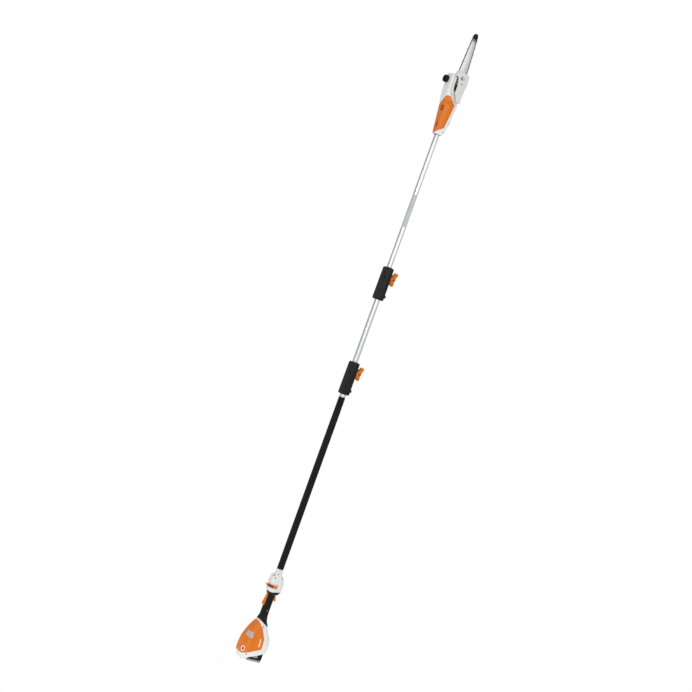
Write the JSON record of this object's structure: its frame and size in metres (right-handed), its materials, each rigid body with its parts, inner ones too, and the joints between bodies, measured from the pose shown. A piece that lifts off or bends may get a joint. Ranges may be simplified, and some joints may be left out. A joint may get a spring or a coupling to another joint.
{
  "type": "telescoping pole saw",
  "caption": "Battery pole saw: teardrop battery housing and hand grip, square telescoping shaft with screw clamps, and an angled motor head with a guide bar and chain.",
  "frame": {"origin": "on the shaft's axis at the middle of the rear hand grip", "axes": "+Z along the shaft towards the guide bar; -X the top of the tool in use, with the lockout lever; -Y the tool's right side, with the sprocket cover and bar"},
  "size_m": [0.1503, 0.1356, 3.8884],
  "materials": {
    "white_housing": "moulded glass-filled nylon, light satin",
    "orange_cover": "moulded coloured plastic, satin",
    "black_plastic": "moulded black plastic, fine texture",
    "grip_rubber": "overmoulded soft-touch skin, matt",
    "foam": "closed-cell foam sleeve, matt",
    "grey_plastic": "moulded grey plastic",
    "cover_plastic": "moulded pale grey plastic, satin",
    "tank_plastic": "milky translucent polyethylene",
    "aluminium_tube": "clear anodised extrusion",
    "bar_steel": "ground steel",
    "dark_steel": "oiled dark steel",
    "copper": "wound copper on laminated steel",
    "lead_rubber": "flexible cable jacket"
  },
  "bodies": {
    "handle": {"base_shell_left": "white_housing", "base_shell_right": "white_housing", "base_cover": "orange_cover", "base_foot": "black_plastic", "battery_contacts": "black_plastic", "motor_controller": "grey_plastic", "grip_shell_left": "grip_rubber", "grip_shell_right": "grip_rubber", "lockout_pin": "dark_steel", "trigger_pin": "dark_steel", "trigger_switch": "black_plastic", "control_housing_left": "white_housing", "control_housing_right": "white_housing", "lower_tube": "aluminium_tube", "foam_sleeve": "foam", "lower_clamp_left": "black_plastic", "lower_clamp_right": "black_plastic", "lower_clamp_bush": "grey_plastic", "lower_clamp_shoe": "grey_plastic", "coiled_lead": "lead_rubber"},
    "battery": {"battery_case": "black_plastic", "battery_end": "grey_plastic"},
    "left_latch": {"battery_latch_left": "black_plastic"},
    "right_latch": {"battery_latch_right": "black_plastic"},
    "lockout": {"lockout_lever": "orange_cover"},
    "trigger_lever": {"trigger": "orange_cover"},
    "unlock_button": {"unlock_slider": "orange_cover"},
    "lower_knob": {"lower_toggle": "orange_cover"},
    "middle_shaft": {"mid_tube": "aluminium_tube", "mid_guide": "black_plastic", "upper_clamp_left": "black_plastic", "upper_clamp_right": "black_plastic", "upper_clamp_bush": "grey_plastic", "upper_clamp_shoe": "grey_plastic"},
    "upper_knob": {"upper_toggle": "orange_cover"},
    "top_shaft_and_head": {"top_tube": "aluminium_tube", "top_guide": "black_plastic", "head_lead": "lead_rubber", "head_shell_left": "white_housing", "head_shell_right": "white_housing", "motor_cover": "orange_cover", "oil_tank": "tank_plastic", "motor_stator": "copper", "rear_bearing": "bar_steel", "front_bearing": "bar_steel", "shaft_bearing": "bar_steel", "oil_pump": "grey_plastic", "guide_bar": "bar_steel", "saw_chain": "dark_steel", "sprocket_cover": "cover_plastic", "bar_stud": "bar_steel", "bar_nut": "dark_steel"},
    "rotor": {"motor_rotor": "dark_steel", "bevel_pinion": "dark_steel"},
    "sprocket": {"sprocket_shaft": "dark_steel", "bevel_gear": "dark_steel", "drive_sprocket": "dark_steel"},
    "bar_nose": {"nose_sprocket": "dark_steel"},
    "filler_cap": {"oil_cap": "black_plastic"},
    "tensioner": {"tension_screw": "bar_steel"}
  },
  "joints": [
    {"name": "middle_tube_slide", "type": "slide", "parent": "handle", "child": "middle_shaft", "axis": [0, 0, 1], "range_m": [-0.385, 0]},
    {"name": "top_tube_slide", "type": "slide", "parent": "middle_shaft", "child": "top_shaft_and_head", "axis": [0, 0, 1], "range_m": [-0.82, 0], "deforming": ["coiled_lead"]},
    {"name": "lower_clamp_turn", "type": "hinge", "parent": "handle", "child": "lower_knob", "pos_m": [0, 0, 1.4584], "axis": [1, 0, 0], "range_deg": [0, 150]},
    {"name": "upper_clamp_turn", "type": "hinge", "parent": "middle_shaft", "child": "upper_knob", "pos_m": [0, 0, 2.0464], "axis": [1, 0, 0], "range_deg": [0, 150]},
    {"name": "trigger_pull", "type": "hinge", "parent": "handle", "child": "trigger_lever", "pos_m": [0.0125, 0, 0.0725], "axis": [0, 1, 0], "range_deg": [0, 10], "stiffness_Nm_per_rad": 0.8, "springref_deg": -8.59},
    {"name": "lockout_press", "type": "hinge", "parent": "handle", "child": "lockout", "pos_m": [-0.0125, 0, 0.0725], "axis": [0, -1, 0], "range_deg": [0, 6], "stiffness_Nm_per_rad": 0.8, "springref_deg": -8.59},
    {"name": "unlock_slide", "type": "slide", "parent": "handle", "child": "unlock_button", "axis": [0, 0, 1], "range_m": [0, 0.008], "stiffness_N_per_m": 400, "springref_m": -0.003},
    {"name": "battery_slide", "type": "slide", "parent": "handle", "child": "battery", "axis": [0, 0, 1], "range_m": [-0.085, 0]},
    {"name": "left_latch_press", "type": "slide", "parent": "battery", "child": "left_latch", "axis": [0, -1, 0], "range_m": [0, 0.0025], "stiffness_N_per_m": 800, "springref_m": -0.003},
    {"name": "right_latch_press", "type": "slide", "parent": "battery", "child": "right_latch", "axis": [0, 1, 0], "range_m": [0, 0.0025], "stiffness_N_per_m": 800, "springref_m": -0.003},
    {"name": "rotor_spin", "type": "hinge", "parent": "top_shaft_and_head", "child": "rotor", "pos_m": [0, 0, 3.0804], "axis": [0, 0, 1], "continuous": true},
    {"name": "sprocket_spin", "type": "hinge", "parent": "top_shaft_and_head", "child": "sprocket", "pos_m": [0, -0.037, 3.2244], "axis": [0, 1, 0], "continuous": true},
    {"name": "nose_spin", "type": "hinge", "parent": "top_shaft_and_head", "child": "bar_nose", "pos_m": [0, -0.037, 3.5415], "axis": [0, 1, 0], "continuous": true},
    {"name": "oil_cap_turn", "type": "hinge", "parent": "top_shaft_and_head", "child": "filler_cap", "pos_m": [-0.06, 0.021, 3.2564], "axis": [-1, 0, 0], "range_deg": [0, 180]},
    {"name": "tension_screw_turn", "type": "hinge", "parent": "top_shaft_and_head", "child": "tensioner", "pos_m": [0.01, -0.045, 3.2489], "axis": [0, -1, 0], "range_deg": [-180, 180]}
  ],
  "couplings": [
    {"joint": "sprocket_spin", "follows": "rotor_spin", "ratio": -0.5},
    {"joint": "nose_spin", "follows": "rotor_spin", "ratio": -0.75}
  ]
}
